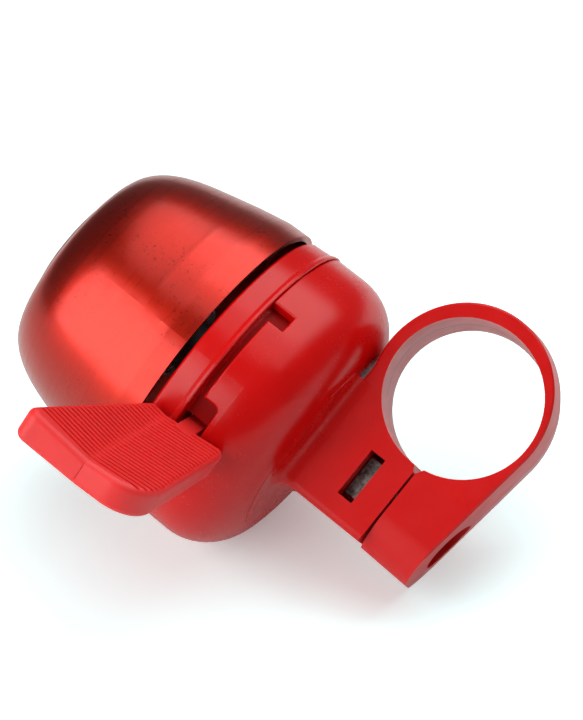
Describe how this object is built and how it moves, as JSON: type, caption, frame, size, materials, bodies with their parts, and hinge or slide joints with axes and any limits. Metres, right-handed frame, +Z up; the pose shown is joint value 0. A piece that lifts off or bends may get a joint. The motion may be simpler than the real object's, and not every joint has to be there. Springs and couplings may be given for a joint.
{
  "type": "bicycle bell",
  "caption": "Handlebar bell: a spun metal dome over a geared rotor with loose strikers, a ribbed thumb lever and a split strap clamp.",
  "frame": {"origin": "centre of the handlebar bore, halfway along it", "axes": "+X along the bore to the rider's right, +Y forward, +Z up along the bell's axis"},
  "size_m": [0.0659, 0.0542, 0.07],
  "materials": {
    "red_plastic": "glossy moulded",
    "red_anodised": "red anodised, satin",
    "black_rubber": "matt",
    "black_plastic": "moulded",
    "white_nylon": "moulded nylon",
    "turned_brass": "turned",
    "zinc_steel": "bright zinc plated",
    "bright_steel": "drawn"
  },
  "bodies": {
    "base": {"housing": "red_plastic", "collar_cover": "red_plastic", "dome": "red_anodised", "dome_seat": "black_rubber", "dome_washer": "zinc_steel", "dome_screw": "zinc_steel", "dome_standoff": "turned_brass", "center_post": "bright_steel", "rotor_thrust_washer": "white_nylon", "rotor_clip": "zinc_steel", "idler_pin": "bright_steel", "lever_pin": "bright_steel", "lever_spring": "bright_steel", "cover_screws": "zinc_steel", "clamp_washer": "zinc_steel", "clamp_nut": "zinc_steel"},
    "lever": {"thumb_lever": "red_plastic"},
    "idler": {"idler_gear": "white_nylon"},
    "spinner": {"rotor": "black_plastic", "striker_pins": "bright_steel"},
    "striker_a": {"striker_washer_a": "zinc_steel"},
    "striker_b": {"striker_washer_b": "zinc_steel"},
    "screw": {"clamp_screw": "zinc_steel"}
  },
  "joints": [
    {"name": "thumb_push", "type": "hinge", "parent": "base", "child": "lever", "pos_m": [-0.01269, 0.02337, 0.0245], "axis": [0, 0, -1], "range_deg": [0, 22], "stiffness_Nm_per_rad": 0.2, "springref_deg": -8.59, "deforming": ["lever_spring"]},
    {"name": "idler_turn", "type": "hinge", "parent": "base", "child": "idler", "pos_m": [-0.00916, 0.01164, 0.022], "axis": [0, 0, -1], "range_deg": [-64, 0]},
    {"name": "rotor_spin", "type": "hinge", "parent": "base", "child": "spinner", "pos_m": [0, 0.01745, 0.028], "axis": [0, 0, -1], "range_deg": [0, 156]},
    {"name": "striker_a_slide", "type": "slide", "parent": "spinner", "child": "striker_a", "axis": [-1, 0, 0], "range_m": [-0.0009, 0.0009]},
    {"name": "striker_b_slide", "type": "slide", "parent": "spinner", "child": "striker_b", "axis": [1, 0, 0], "range_m": [-0.0009, 0.0009]},
    {"name": "clamp_turn", "type": "hinge", "parent": "base", "child": "screw", "pos_m": [0, 0.0169, 0], "axis": [0, 0, 1], "continuous": true}
  ],
  "couplings": [
    {"joint": "idler_turn", "follows": "thumb_push", "ratio": -2.8889},
    {"joint": "rotor_spin", "follows": "thumb_push", "ratio": 7.0617}
  ]
}
